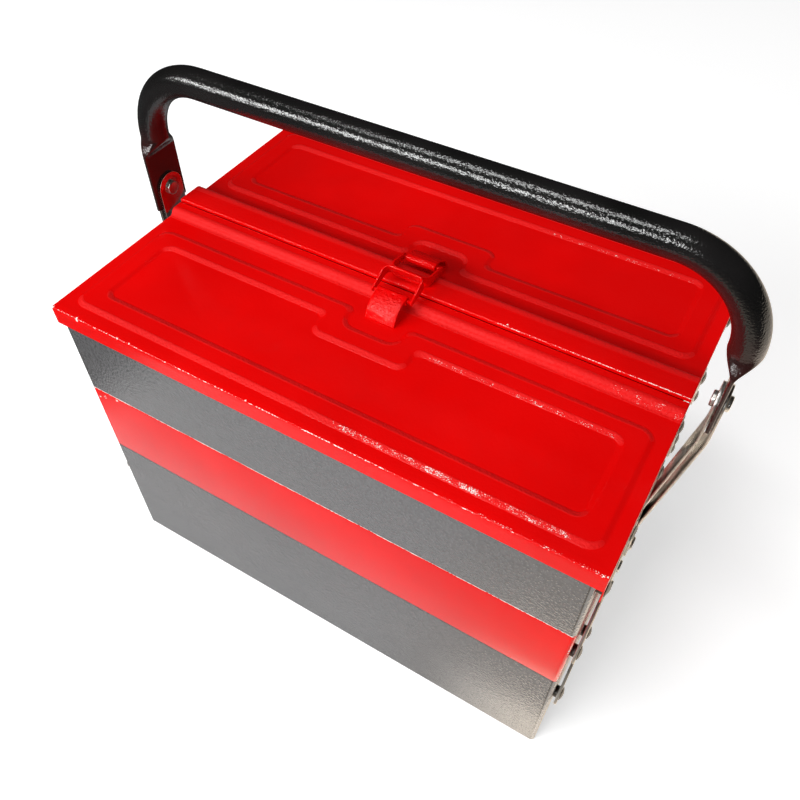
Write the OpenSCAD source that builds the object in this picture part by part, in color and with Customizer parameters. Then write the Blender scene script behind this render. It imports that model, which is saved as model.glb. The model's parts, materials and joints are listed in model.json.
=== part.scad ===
// Cantilever tool box: a deep base, two middle trays and two top trays in two
// halves that swing apart on parallel arms, a folded lid on each top tray, a
// hasp on each lid, and a tubular carrying handle between two pairs of brackets.
// X is the length of the box, the front is towards -Y, and Z is up from the floor.

/* [Boxes] */
// Length of the base and the trays, outside
body_len = 362; // [300:1:460]
// Depth of the base from front to back, outside
body_depth = 253.4; // [220:0.2:300]
// Height of the base
base_h = 109; // [95:1:140]
// Height of a middle tray
middle_h = 64.6; // [56:0.2:80]
// Height of a top tray
top_h = 70; // [62:0.5:90]
// Running gap between one tier and the next
tier_gap = 0.4; // [0.2:0.1:1]
// Gap between the front half and the rear half
half_gap = 0.6; // [0.4:0.1:2]
// Thickness of the sheet that the boxes are folded from
sheet = 0.8; // [0.7:0.1:1.5]
// Thickness of the folded hem along each rim
hem_w = 2; // [1.6:0.1:3]
// Height of the folded hem
hem_h = 8; // [5:0.5:12]
// Outer radius of the upright corners
corner_r = 3; // [2.5:0.5:6]
// Outer radius of the fold along each rim
rim_r = 1.6; // [0.8:0.1:1.8]

/* [Lids] */
// Thickness of the lid sheet
lid_sheet = 0.8; // [0.7:0.1:1.5]
// Gap from a tray's end wall to the lid's end flange, where the arms run
lid_end_gap = 3.2; // [2.6:0.1:5]
// Gap from a tray's outer wall to the lid's long flange
lid_side_gap = 0.5; // [0.2:0.1:1]
// Gap from a tray's rim to the underside of the lid
lid_rise = 2.2; // [1.5:0.1:4]
// Height of the lid's flanges, with the sheet
flange_h = 13.4; // [10:0.2:20]
// Distance from the lid's outer face to its hinge axis
hinge_inset = 13; // [12:0.5:16]
// Radius of the ear that hangs from the lid round its hinge
ear_r = 8; // [7:0.5:9]
// Depth of the lid's hinge axis below the lid's top
hinge_drop = 30.4; // [28:0.2:40]
// Clear gap in plan between the two lids where they meet
meet_gap = 0.5; // [0.3:0.1:1]
// How far the rear lid's cap reaches over the middle of the box
cap_reach = 4; // [2:0.5:6]
// Depth of the flat top of the cap
cap_flat = 17; // [10:0.5:24]
// Height of the cap above the lid's top
cap_h = 6.4; // [5:0.2:9]
// Run of the slope behind the cap
cap_run = 8; // [7:0.5:12]
// Depth of the cap's folded front lip
cap_lip = 2.6; // [1.6:0.1:3.5]
// Height of the front lid's shoulder above the lid's top
shoulder_h = 4.2; // [3:0.2:5]
// Depth of the flat top of the shoulder
shoulder_flat = 7; // [4:0.5:10]
// Run of the shoulder's slope
shoulder_run = 6; // [5:0.5:9]

/* [Pressed frame] */
// Height of the frame that is pressed into each lid
frame_h = 1.2; // [0.6:0.1:2]
// Run of the frame's sloping sides
frame_slope = 2.6; // [1.5:0.1:4]
// Width of the frame
frame_w = 16.5; // [12:0.5:22]
// Margin between the lid's ends and the frame
frame_end = 8; // [6:0.5:14]
// Margin between the lid's outer edge and the frame
frame_front = 10; // [7:0.5:14]
// Depth of the frame from front to back
frame_depth = 87; // [78:0.5:92]
// Radius of the frame's outer corners
frame_r = 10; // [8:0.5:16]
// Width of the flat place that the frame leaves for the hasp
notch_w = 37; // [34:0.5:50]
// Depth of that place
notch_d = 16; // [12:0.5:20]
// Width of the frame on the sides of that place
notch_band = 15.5; // [12:0.5:18]

/* [Arms and rivets] */
// Drop of the pivots below the rim of the tier
pivot_drop = 35; // [30:0.5:40]
// Distance of the innermost pivots from the middle of the box
pivot_inset = 20; // [19.5:0.5:22]
// Distance of the outermost pivots from the outer wall
pivot_margin = 10.7; // [10:0.1:16]
// Width of the long arms
arm_w = 16; // [14:0.5:17]
// Width of the short links
link_w = 15; // [12:0.5:17]
// Thickness of the arms and links
arm_t = 1.8; // [1.4:0.1:2]
// Gap between a wall and an arm, filled at each pivot by the rivet's shoulder
arm_gap = 2.4; // [1:0.1:3]
// Gap between an arm and a rivet's head
head_gap = 0.15; // [0.05:0.05:0.3]
// Radius of the pivot rivets
rivet_r = 2.5; // [2:0.1:3.5]
// Radius of the pivot rivets' heads
head_r = 4.5; // [4:0.1:6]
// Height of the pivot rivets' heads
head_h = 1.6; // [1.2:0.1:2]
// Radius of the pivot rivets' shoulders
shoulder_r = 4; // [3.5:0.1:6]
// Radial running clearance of every pivot
pivot_fit = 0.05; // [0.02:0.01:0.1]
// Radial clearance of a rivet in the piece that it is closed into
press_fit = 0.02; // [0.01:0.01:0.05]

/* [Brackets] */
// Width of the bracket plates
bracket_w = 22; // [18:0.5:26]
// Thickness of the bracket plates
bracket_t = 1.6; // [1.2:0.1:2.4]
// Height of the inner plate's lower end above the floor
bracket_foot = 12; // [6:1:24]
// Height above which the plates stand upright again
bend_high = 238; // [230:1:238]
// Slope of the plates away from the upright
bracket_slope = 9; // [7:0.5:12]
// Radius of the plates' bends
bracket_bend_r = 70; // [40:5:80]
// Outward offset of the inner plate
bracket_offset = 12.6; // [11:0.2:16]
// Heights of the rivets that hold the inner plate
bracket_rivet_z = [28, 60];
// Clearance between the hem and the head of the rivet that holds both plates
bracket_joint_gap = 1; // [0.5:0.5:8]
// Radius of the bracket rivets
bracket_rivet_r = 3; // [2.5:0.1:3.5]
// Radius of the bracket rivets' heads
bracket_head_r = 5; // [4.5:0.1:5.2]

/* [Handle] */
// Diameter of the handle's tube
tube_d = 19; // [16:0.5:22]
// Wall of the tube
tube_wall = 1.2; // [1:0.1:1.3]
// Radius of the bends, to the middle of the tube
bend_r = 49; // [30:1:49]
// Height of the handle's pivot above the lid's top
pivot_rise = 9.9; // [8:0.1:16]
// Height of the grip's centre above the pivot
grip_rise = 88.7; // [80:0.1:120]
// Width of the flattened ends
flat_w = 29; // [24:0.5:30]
// Thickness of the flattened ends
flat_t = 2.8; // [2.7:0.1:5]
// Length of a flattened end above the pivot
flat_above = 29; // [20:1:29]
// Length of a flattened end below the pivot
flat_below = 13; // [9:0.5:13]
// Length over which the tube is pressed flat
flat_run = 9; // [7:1:9]
// Gap between a flattened end and each bracket plate
flat_gap = 0.2; // [0.1:0.05:0.4]
// Radius of the handle's pivot rivets
handle_rivet_r = 3; // [2.6:0.1:4]
// Radius of their heads
handle_head_r = 4.8; // [4.4:0.1:6]
// Height of their heads
handle_head_h = 2.4; // [1.6:0.1:3]

/* [Hasps] */
// Width of a hasp's curled tab
tab_w = 21; // [16:0.5:22]
// Thickness of the tab
tab_t = 1.2; // [1:0.1:1.5]
// Reach of the tab's arch from the pin to the tab's outer edge
tab_reach = 16; // [14:0.5:18]
// Length of the tab's foot
tab_foot = 8; // [5:0.5:9]
// Distance of the hasp's pin from the middle of the box
hasp_y = 18.7; // [18.4:0.1:20]
// Height of the hasp's pin above the lid's top
hasp_z = 9.9; // [9.5:0.1:12]
// Outer radius of the curl
curl_r = 3; // [2.6:0.1:3.4]
// Radius of the ring's pins
pin_r = 1.2; // [1:0.1:1.5]
// Outer width of a ring
ring_w = 29; // [27:0.5:32]
// Length of a ring from its pin to the middle of its bar
ring_len = 17; // [15:0.1:17.2]
// Width of the strip at the ring's bar
ring_strip = 7; // [4:0.5:7.5]
// Width of the strip at the ring's pin
ring_eye = 3.8; // [3.2:0.1:5]
// Thickness of the strip
ring_t = 1.3; // [1:0.1:1.8]
// Outer radius of the ring's bends
ring_r = 5; // [3:0.5:7]
// Angle above level at which the front ring stands
front_tilt = 20; // [10:1:60]
// Angle above level at which the rear ring lies over the cap
rear_tilt = 3; // [3:1:20]

/* [Hidden] */
$fn = 64;
// Small overlap that lets a cutting shape pass through a face
cut = 1;

// Levels of the tiers and of the lid
tier = middle_h + tier_gap;
middle_z = base_h + tier_gap;
top_z = middle_z + tier;
rim_z = top_z + top_h;
lid_z = rim_z + lid_rise + lid_sheet;
flange_z = lid_z - flange_h;

// Plan of the boxes and lids, with the front half on the -Y side
body_x = body_len / 2;
body_y = body_depth / 2;
tray_in = half_gap / 2;
lid_x = body_x + lid_end_gap + lid_sheet;
lid_y = body_y + lid_side_gap + lid_sheet;
shoulder_y = cap_reach + meet_gap;

// Pivots: column 0 is the innermost, level 0 is on the base
throw = (body_y - pivot_margin - pivot_inset) / 2;
function pivot_y(column) = -(pivot_inset + column * throw);
function pivot_z(level) = base_h - pivot_drop + level * tier;
function pivot(column, level) = [pivot_y(column), pivot_z(level)];
arm_x = body_x + arm_gap;
base_pivots = [pivot(1, 0), pivot(2, 0)];
middle_pivots = [pivot(0, 1), pivot(1, 1), pivot(2, 1)];
top_pivots = [pivot(0, 2), pivot(1, 2)];
hinge = [-(lid_y - hinge_inset), lid_z - hinge_drop];

// Brackets and handle
handle_z = lid_z + pivot_rise;
grip_z = handle_z + grip_rise;
inner_x = body_x + arm_gap + bracket_t / 2;
outer_x = inner_x + bracket_t;
outer_offset = bracket_offset + flat_t + 2 * flat_gap;
bracket_joint_z = base_h - hem_h - bracket_head_r - bracket_joint_gap;
outer_foot = bracket_joint_z - bracket_w / 2;
leg_x = inner_x + bracket_offset + (bracket_t + flat_t) / 2 + flat_gap;
bracket_tail = handle_z + bracket_w - bend_high;
rim_fold = min(rim_r, hem_w - 0.2);

// Hasps
pin_z = lid_z + hasp_z;

// ---- Placing ----

// Turns a shape drawn in (y, z) so that it is extruded along +X
module facing_x() {
    rotate([90, 0, 90]) children();
}

// Turns a shape drawn in (z, x) so that it is extruded along +Y
module facing_y() {
    rotate([0, -90, -90]) children();
}

module left() {
    mirror([1, 0, 0]) children();
}

module rear() {
    mirror([0, 1, 0]) children();
}

module both_ends() {
    children();
    left() children();
}

module both_halves() {
    children();
    rear() children();
}

// ---- Shapes that repeat ----

// Rectangle with rounded corners, centred
module round_rect(w, d, r) {
    square([w - 2 * r, d], center = true);
    square([w, d - 2 * r], center = true);
    for (x = [-1, 1], y = [-1, 1])
        translate([x * (w / 2 - r), y * (d / 2 - r)]) circle(r);
}

// Bar with round ends from point p to point q
module round_bar(p, q, w) {
    d = q - p;
    translate(p) rotate(atan2(d.y, d.x)) {
        translate([0, -w / 2]) square([norm(d), w]);
        circle(w / 2);
        translate([norm(d), 0]) circle(w / 2);
    }
}

// S-bend of two equal arcs, from the origin to (run, rise), level at both ends.
// bend_side gives the points that lie off to the left of its middle line.
function bend_angle(run, rise) = 2 * atan2(rise, run);
function bend_radius(run, rise) = run / (2 * sin(bend_angle(run, rise)));
function bend_side(run, rise, off) =
    let (a = bend_angle(run, rise), r = bend_radius(run, rise), n = 8)
    concat([for (i = [0 : n]) [(r - off) * sin(a * i / n), r - (r - off) * cos(a * i / n)]],
           [for (i = [n - 1 : -1 : 0])
               [run - (r + off) * sin(a * i / n), rise - r + (r + off) * cos(a * i / n)]]);
function turned(points) = [for (i = [len(points) - 1 : -1 : 0]) points[i]];

// Strip of thickness t with an S-bend between a straight lead and a straight tail
module bent_strip(lead, run, rise, tail, t) {
    polygon(concat([[-lead, -t / 2]], bend_side(run, rise, -t / 2), [[run + tail, rise - t / 2]],
                   [[run + tail, rise + t / 2]], turned(bend_side(run, rise, t / 2)),
                   [[-lead, t / 2]]));
}

// Strip of thickness t that runs up to (bend_high, rise): a straight stretch at the
// brackets' slope between two round bends, drawn from the lead's end at the height 0
module sloped_strip(rise, tail, t) {
    a = bracket_slope;
    r = bracket_bend_r;
    n = 8;
    straight = (rise - 2 * r * (1 - cos(a))) / sin(a);
    low = bend_high - 2 * r * sin(a) - straight * cos(a);
    function side(off) = concat(
        [[0, off]],
        [for (i = [0 : n]) [low + (r - off) * sin(a * i / n), r - (r - off) * cos(a * i / n)]],
        [for (i = [n : -1 : 0])
            [bend_high - (r + off) * sin(a * i / n), rise - r + (r + off) * cos(a * i / n)]],
        [[bend_high + tail, rise + off]]);
    polygon(concat(side(-t / 2), turned(side(t / 2))));
}

// Half section of a domed rivet head, seated on y = 0
module head_section(r, h) {
    edge = h / 4;
    dome = h - edge;
    ball = (r * r + dome * dome) / (2 * dome);
    square([r, edge]);
    translate([0, edge]) intersection() {
        translate([0, dome - ball]) circle(ball, $fn = 96);
        square([r, dome]);
    }
}

// Rivet along X with its shank from x0 to x1 and a head outside each
module rivet(at, x0, x1, r, hr, hh) {
    translate([x0, at.x, at.y]) rotate([0, 90, 0]) rotate_extrude() {
        square([r, x1 - x0]);
        translate([0, x1 - x0]) head_section(hr, hh);
        mirror([0, 1]) head_section(hr, hh);
    }
}

// Rivet closed into an end wall, with a shoulder out to the piece that turns on it
module shoulder_rivet(at, inner_face, outer_face) {
    rivet(at, body_x - sheet, outer_face + head_gap, rivet_r, head_r, head_h);
    translate([body_x, at.x, at.y]) rotate([0, 90, 0])
        cylinder(r = shoulder_r, h = inner_face - head_gap - body_x);
}

// Rivet with flat heads, along X with its shank from x0 to x1
module flat_rivet(at, x0, x1, r, hr, hh) {
    edge = hh / 5;
    head = [[0, 0], [hr, 0], [hr, hh - edge], [hr - edge, hh], [0, hh]];
    translate([x0, at.x, at.y]) rotate([0, 90, 0]) rotate_extrude() {
        square([r, x1 - x0]);
        translate([0, x1 - x0]) polygon(head);
        mirror([0, 1]) polygon(head);
    }
}

module pivot_rivet(at) {
    shoulder_rivet(at, arm_x, arm_x + arm_t);
}

// Holes along X through both end walls
module end_holes(points, r) {
    for (p = points)
        translate([0, p.x, p.y]) rotate([0, 90, 0])
            cylinder(r = r, h = body_len + 2 * cut, center = true);
}

// End view of a block of width w and height h whose upper edges are rounded
module folded(w, h) {
    translate([-w / 2, 0]) square([w, h - rim_fold]);
    translate([rim_fold - w / 2, 0]) square([w - 2 * rim_fold, h]);
    for (x = [-1, 1]) translate([x * (w / 2 - rim_fold), h - rim_fold]) circle(rim_fold);
}

// Open box of folded sheet between y0 and y1, with a hem folded in along its rim
module open_box(y0, y1, z0, h) {
    d = y1 - y0;
    translate([0, (y0 + y1) / 2, z0]) difference() {
        intersection() {
            linear_extrude(h) round_rect(body_len, d, corner_r);
            translate([-body_len, 0, 0]) facing_x() linear_extrude(2 * body_len) folded(d, h);
            translate([0, d, 0]) rotate([90, 0, 0]) linear_extrude(2 * d) folded(body_len, h);
        }
        translate([0, 0, sheet]) linear_extrude(h - sheet - hem_h)
            round_rect(body_len - 2 * sheet, d - 2 * sheet, corner_r - sheet);
        translate([0, 0, h - hem_h - cut / 2]) linear_extrude(hem_h + cut)
            round_rect(body_len - 2 * hem_w, d - 2 * hem_w, max(corner_r - hem_w, 0.3));
    }
}

// ---- Base, brackets and handle ----

module base_box() {
    color([0.45, 0.46, 0.45]) difference() {
        open_box(-body_y, body_y, 0, base_h);
        both_halves() end_holes(base_pivots, rivet_r + press_fit);
        end_holes([for (z = concat(bracket_rivet_z, bracket_joint_z)) [0, z]],
                  bracket_rivet_r + press_fit);
    }
}

module base_pivot_rivets() {
    color([0.75, 0.74, 0.72]) both_ends() both_halves()
        for (p = base_pivots) pivot_rivet(p);
}

// One bracket plate: lower_x is the middle of its lower end, rise its offset at the
// top, foot the height of its lower end and holes the heights of its rivets
module bracket_plate(lower_x, rise, foot, holes) {
    color([0.72, 0.71, 0.68]) difference() {
        intersection() {
            translate([lower_x, -bracket_w, 0]) facing_y() linear_extrude(2 * bracket_w)
                sloped_strip(rise, bracket_tail, bracket_t);
            translate([lower_x - bracket_w, 0, 0]) facing_x() linear_extrude(3 * bracket_w)
                round_bar([0, foot + bracket_w / 2], [0, handle_z], bracket_w);
        }
        for (z = holes)
            translate([lower_x, 0, z]) rotate([0, 90, 0])
                cylinder(r = bracket_rivet_r + press_fit, h = 2 * bracket_t, center = true);
        translate([lower_x + rise, 0, handle_z]) rotate([0, 90, 0])
            cylinder(r = handle_rivet_r + press_fit, h = 2 * bracket_t, center = true);
    }
}

module bracket_inner() {
    bracket_plate(inner_x, bracket_offset, bracket_foot,
                  concat(bracket_rivet_z, bracket_joint_z));
}

module bracket_outer() {
    bracket_plate(outer_x, outer_offset, outer_foot, [bracket_joint_z]);
}

// Rivet that holds plates up to outer_face off the wall, on a shoulder
module bracket_rivet(z, outer_face) {
    flat_rivet([0, z], body_x - sheet, outer_face, bracket_rivet_r, bracket_head_r, head_h);
    translate([body_x, 0, z]) rotate([0, 90, 0]) cylinder(r = bracket_head_r, h = arm_gap);
}

module bracket_rivets() {
    color([0.78, 0.77, 0.74]) both_ends() {
        for (z = bracket_rivet_z) bracket_rivet(z, inner_x + bracket_t / 2);
        bracket_rivet(bracket_joint_z, outer_x + bracket_t / 2);
    }
}

module handle_pivot_rivets() {
    color([0.78, 0.77, 0.74]) both_ends()
        flat_rivet([0, handle_z], inner_x + bracket_offset - bracket_t / 2,
                   outer_x + outer_offset + bracket_t / 2,
                   handle_rivet_r, handle_head_r, handle_head_h);
}

// Bar, bends and legs of a rod of radius r that runs along the tube
module handle_rod(r) {
    leg_z = handle_z + flat_above + flat_run;
    translate([0, 0, grip_z]) rotate([0, 90, 0])
        cylinder(r = r, h = 2 * (leg_x - bend_r), center = true);
    both_ends() {
        translate([leg_x - bend_r, 0, grip_z - bend_r]) rotate([90, 0, 0])
            rotate_extrude(angle = 90) translate([bend_r, 0]) circle(r);
        translate([leg_x, 0, leg_z]) cylinder(r = r, h = grip_z - bend_r - leg_z);
    }
}

// Stretch where a tube of diameter d goes over into a flat of width w and thickness t
module pressed_run(d, w, t) {
    skin = 0.2;
    translate([0, 0, handle_z + flat_above]) hull() {
        translate([0, 0, flat_run]) cylinder(d = d - 1.5 * skin, h = skin, $fn = 32);
        translate([-t / 2, -w / 2, -skin]) cube([t, w, 2 * skin]);
    }
}

// One end of the tube, pressed flat; its bore is left as a narrow slit
module handle_end() {
    flat_mid = handle_z + (flat_above - flat_below) / 2;
    flat_len = flat_above + flat_below;
    slit_t = flat_t - 2 * tube_wall;
    slit_w = flat_w - 2 * tube_wall;
    difference() {
        union() {
            translate([-flat_t / 2, 0, 0]) facing_x() linear_extrude(flat_t)
                translate([0, flat_mid]) round_rect(flat_w, flat_len, 2);
            pressed_run(tube_d, flat_w, flat_t);
        }
        translate([0, 0, flat_mid]) cube([slit_t, slit_w, flat_len + cut], center = true);
        pressed_run(tube_d - 2 * tube_wall, slit_w, slit_t);
    }
}

module handle() {
    color([0.06, 0.06, 0.07]) difference() {
        union() {
            difference() {
                handle_rod(tube_d / 2);
                handle_rod(tube_d / 2 - tube_wall);
            }
            both_ends() translate([leg_x, 0, 0]) handle_end();
        }
        both_ends() translate([leg_x, 0, handle_z]) rotate([0, 90, 0])
            cylinder(r = handle_rivet_r + pivot_fit, h = 2 * flat_t, center = true);
    }
}

// ---- Arms and links ----

// Flat bar outside the right end, pivoted at each of the points
module pivoted_bar(points, w) {
    color([0.7, 0.69, 0.66]) translate([arm_x, 0, 0]) facing_x() linear_extrude(arm_t)
        difference() {
            round_bar(points[0], points[len(points) - 1], w);
            for (p = points) translate(p) circle(rivet_r + pivot_fit);
        }
}

module long_arm() {
    pivoted_bar([pivot(2, 0), pivot(1, 1), pivot(0, 2)], arm_w);
}

module lower_link() {
    pivoted_bar([pivot(1, 0), pivot(0, 1)], link_w);
}

module upper_link() {
    pivoted_bar([pivot(2, 1), pivot(1, 2)], link_w);
}

// ---- Trays ----

module middle_tray() {
    color([0.85, 0.02, 0.02]) difference() {
        open_box(-body_y, -tray_in, middle_z, middle_h);
        end_holes(middle_pivots, rivet_r + press_fit);
    }
}

module middle_rivets() {
    color([0.75, 0.74, 0.72]) both_ends() for (p = middle_pivots) pivot_rivet(p);
}

module top_tray() {
    color([0.42, 0.43, 0.43]) difference() {
        open_box(-body_y, -tray_in, top_z, top_h);
        end_holes(concat(top_pivots, [hinge]), rivet_r + press_fit);
    }
}

module top_rivets() {
    color([0.75, 0.74, 0.72]) both_ends() for (p = top_pivots) pivot_rivet(p);
}

module lid_hinge_rivets() {
    color([0.75, 0.74, 0.72]) both_ends() shoulder_rivet(hinge, lid_x - lid_sheet, lid_x);
}

// ---- Lids ----

// Rounded rectangle that measures w by d at height 0, from height z0 to height z1,
// and whose sides move out by slope as it rises by the height of the frame
module sloped(w, d, r, slope, z0, z1) {
    grow_0 = 2 * slope * z0 / frame_h;
    grow_1 = 2 * slope * z1 / frame_h;
    translate([0, 0, z0])
        linear_extrude(z1 - z0, slices = 1,
                       scale = [(w + grow_1) / (w + grow_0), (d + grow_1) / (d + grow_0)])
            round_rect(w + grow_0, d + grow_0, r + grow_0 / 2, $fn = 24);
}

// The pressed frame: a raised band round a panel, stepped round the hasp
module pressed_frame() {
    w = 2 * (lid_x - frame_end);
    in_w = w - 2 * frame_w;
    in_d = frame_depth - 2 * frame_w;
    in_r = max(frame_r - frame_w / 3, 4);
    back_y = -lid_y + frame_front + frame_depth;
    mid_y = back_y - frame_depth / 2;
    step_d = notch_d + frame_w;
    low = -frame_h / 4;
    high = frame_h * 5 / 4;
    difference() {
        translate([0, mid_y, 0]) sloped(w, frame_depth, frame_r, -frame_slope, low, frame_h);
        difference() {
            translate([0, mid_y, 0]) sloped(in_w, in_d, in_r, frame_slope, 2 * low, high);
            translate([0, back_y - step_d / 2, 0])
                sloped(notch_w + 2 * notch_band, step_d, frame_r, -frame_slope, 3 * low, 2 * high);
        }
        translate([0, back_y, 0]) sloped(notch_w, 2 * notch_d, in_r, frame_slope, 2 * low, high);
    }
}

// Ear that hangs from a lid's end flange, seen along X
module ear_outline() {
    translate(hinge) circle(ear_r);
    translate([hinge.x - ear_r, hinge.y]) square([2 * ear_r, flange_z - hinge.y + cut]);
}

// Where each lid starts to rise to the middle, and the level of its sheet's middle
front_slope_y = -(shoulder_y + shoulder_flat + shoulder_run);
rear_slope_y = -(cap_flat - cap_reach + cap_run);
sheet_z = lid_z - lid_sheet / 2;

// A lid, drawn on the front side: it starts to rise at slope_y, over a run and to a
// rise, and goes on level for flat, where a lip of the given width and depth ends it
module lid(slope_y, run, rise, flat, lip) {
    edge_y = slope_y + run + flat;
    color([0.85, 0.02, 0.02]) difference() {
        union() {
            translate([-lid_x, 0, 0]) facing_x() linear_extrude(2 * lid_x) {
                translate([-lid_y, flange_z]) square([lid_sheet, flange_h]);
                translate([slope_y, sheet_z])
                    bent_strip(lid_y + slope_y, run, rise, flat, lid_sheet);
                translate([edge_y - lip.x, lid_z + rise - lip.y]) square(lip);
            }
            both_ends() translate([lid_x - lid_sheet, 0, 0]) facing_x()
                linear_extrude(lid_sheet) {
                    polygon(concat([[-lid_y, flange_z], [-lid_y, sheet_z]],
                                   [for (p = bend_side(run, rise, 0)) p + [slope_y, sheet_z]],
                                   [[edge_y, sheet_z + rise], [edge_y, flange_z]]));
                    ear_outline();
                }
            translate([0, 0, lid_z]) pressed_frame();
        }
        translate([0, 0, lid_z - lid_sheet]) pressed_frame();
        both_ends() translate([lid_x, hinge.x, hinge.y]) rotate([0, 90, 0])
            cylinder(r = rivet_r + pivot_fit, h = 4 * lid_sheet, center = true);
    }
}

module front_lid() {
    lid(front_slope_y, shoulder_run, shoulder_h, shoulder_flat, [lid_sheet, shoulder_h]);
}

module rear_lid() {
    rear() lid(rear_slope_y, cap_run, cap_h, cap_flat, [2 * lid_sheet, cap_lip]);
}

// ---- Hasps ----

// Arch of the tab, seen along X, from its outer edge on the lid to above the pin
module tab_arch() {
    rise = hasp_z + curl_r - 0.3;
    r = (tab_reach * tab_reach + rise * rise) / (2 * rise);
    intersection() {
        translate([-hasp_y, lid_z + rise - r]) difference() {
            circle(r, $fn = 128);
            circle(r - tab_t, $fn = 128);
        }
        translate([-hasp_y - r, lid_z]) square([r, 2 * rise]);
    }
}

// Tab: a strip with its foot on the lid, an arch, and a curl round the ring's pins
module hasp_tab() {
    color([0.8, 0.02, 0.02]) translate([-tab_w / 2, 0, 0]) facing_x() linear_extrude(tab_w)
        difference() {
            union() {
                tab_arch();
                translate([-hasp_y - tab_reach, lid_z]) square([tab_foot, tab_t]);
                translate([-hasp_y, pin_z]) circle(curl_r);
            }
            translate([-hasp_y, pin_z]) circle(pin_r + pivot_fit);
        }
}

// Ring: a strip bent into a U, narrower towards its two inturned pins
module hasp_ring(tilt) {
    far = ring_len + ring_t / 2;
    pin_len = ring_w / 2 - ring_t / 2 - tab_w / 5;
    color([0.8, 0.02, 0.02]) translate([0, -hasp_y, pin_z]) rotate([tilt, 0, 0]) {
        intersection() {
            linear_extrude(2 * ring_strip, center = true) difference() {
                ring_outline(ring_w, far, ring_r);
                ring_outline(ring_w - 2 * ring_t, far - ring_t, ring_r - ring_t);
            }
            translate([-ring_w, 0, 0]) facing_x() linear_extrude(2 * ring_w) ring_side();
        }
        both_ends() translate([tab_w / 5, 0, 0]) rotate([0, 90, 0]) cylinder(r = pin_r, h = pin_len);
    }
}

// Plan of the ring, open at the pin's end, out to far
module ring_outline(w, far, r) {
    start = -ring_strip;
    translate([-w / 2, start]) square([w, far - start - r]);
    translate([-w / 2 + r, far - 2 * r]) square([w - 2 * r, 2 * r]);
    for (x = [-1, 1]) translate([x * (w / 2 - r), far - r]) circle(r);
}

// Side view of the ring's strip
module ring_side() {
    wide_from = ring_len * 2 / 3;
    circle(ring_eye / 2);
    polygon([[0, -ring_eye / 2], [wide_from, -ring_strip / 2],
             [ring_len + ring_strip, -ring_strip / 2], [ring_len + ring_strip, ring_strip / 2],
             [wide_from, ring_strip / 2], [0, ring_eye / 2]]);
}

// ---- The model ----

base_box();
base_pivot_rivets();
bracket_rivets();
handle_pivot_rivets();
left() bracket_inner();  // bracket_inner_left
bracket_inner();  // bracket_inner_right
left() bracket_outer();  // bracket_outer_left
bracket_outer();  // bracket_outer_right
handle();
left() long_arm();  // front_long_arm_left
long_arm();  // front_long_arm_right
left() rear() long_arm();  // rear_long_arm_left
rear() long_arm();  // rear_long_arm_right
left() lower_link();  // front_lower_link_left
lower_link();  // front_lower_link_right
left() rear() lower_link();  // rear_lower_link_left
rear() lower_link();  // rear_lower_link_right
left() upper_link();  // front_upper_link_left
upper_link();  // front_upper_link_right
left() rear() upper_link();  // rear_upper_link_left
rear() upper_link();  // rear_upper_link_right
middle_tray();  // front_middle_tray
rear() middle_tray();  // rear_middle_tray
middle_rivets();  // front_middle_rivets
rear() middle_rivets();  // rear_middle_rivets
top_tray();  // front_top_tray
rear() top_tray();  // rear_top_tray
top_rivets();  // front_top_rivets
rear() top_rivets();  // rear_top_rivets
lid_hinge_rivets();  // front_lid_hinge_rivets
rear() lid_hinge_rivets();  // rear_lid_hinge_rivets
front_lid();
rear_lid();
hasp_tab();  // front_hasp_tab
rear() hasp_tab();  // rear_hasp_tab
hasp_ring(front_tilt);  // front_hasp_ring
rear() hasp_ring(rear_tilt);  // rear_hasp_ring
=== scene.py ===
"""Looks of the cantilever tool box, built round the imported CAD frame.

The front half of the box is towards -Y. Lengths are in metres, except in the code of the lids and
of the handle, which works in millimetres and scales by MM when it makes its mesh.
"""
import contextlib
import json
import math

import bmesh
import bpy
import numpy as np
from mathutils import Matrix, Vector


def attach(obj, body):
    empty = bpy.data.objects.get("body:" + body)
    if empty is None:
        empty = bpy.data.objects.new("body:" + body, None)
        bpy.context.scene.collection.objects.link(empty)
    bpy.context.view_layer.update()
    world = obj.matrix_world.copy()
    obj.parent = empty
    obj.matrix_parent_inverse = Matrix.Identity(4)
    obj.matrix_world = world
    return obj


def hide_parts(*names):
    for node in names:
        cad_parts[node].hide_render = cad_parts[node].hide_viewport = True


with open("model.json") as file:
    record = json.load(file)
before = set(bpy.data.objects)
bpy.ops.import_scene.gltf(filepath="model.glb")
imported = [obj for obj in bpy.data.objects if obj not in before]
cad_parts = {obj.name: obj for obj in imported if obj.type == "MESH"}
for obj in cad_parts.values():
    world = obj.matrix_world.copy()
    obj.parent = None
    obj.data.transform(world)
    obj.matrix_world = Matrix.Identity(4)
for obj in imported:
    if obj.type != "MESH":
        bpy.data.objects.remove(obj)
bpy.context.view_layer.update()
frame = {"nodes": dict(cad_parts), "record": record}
MM = 0.001


# ---------------------------------------------------------------- camera
CAMERA_PLACE = (0.1878, -0.3284, 0.5781)
CAMERA_RIGHT = (0.8602, 0.5099, 0.0035)
CAMERA_FORWARD = (-0.3309, 0.5633, -0.7571)
CAMERA_LENS = 34.83
CAMERA_SENSOR = 36.0
CAMERA_CLIP = 0.01


def add_camera():
    """Camera solved from the photograph; its axes are squared up before use."""
    data = bpy.data.cameras.new("camera")
    data.lens = CAMERA_LENS
    data.sensor_width = CAMERA_SENSOR
    data.clip_start = CAMERA_CLIP
    camera = bpy.data.objects.new("camera", data)
    bpy.context.scene.collection.objects.link(camera)
    forward = Vector(CAMERA_FORWARD).normalized()
    up = Vector(CAMERA_RIGHT).normalized().cross(forward).normalized()
    right = forward.cross(up).normalized()
    basis = Matrix((right, up, -forward)).transposed()
    camera.matrix_world = Matrix.Translation(CAMERA_PLACE) @ basis.to_4x4()
    bpy.context.scene.camera = camera


add_camera()


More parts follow.
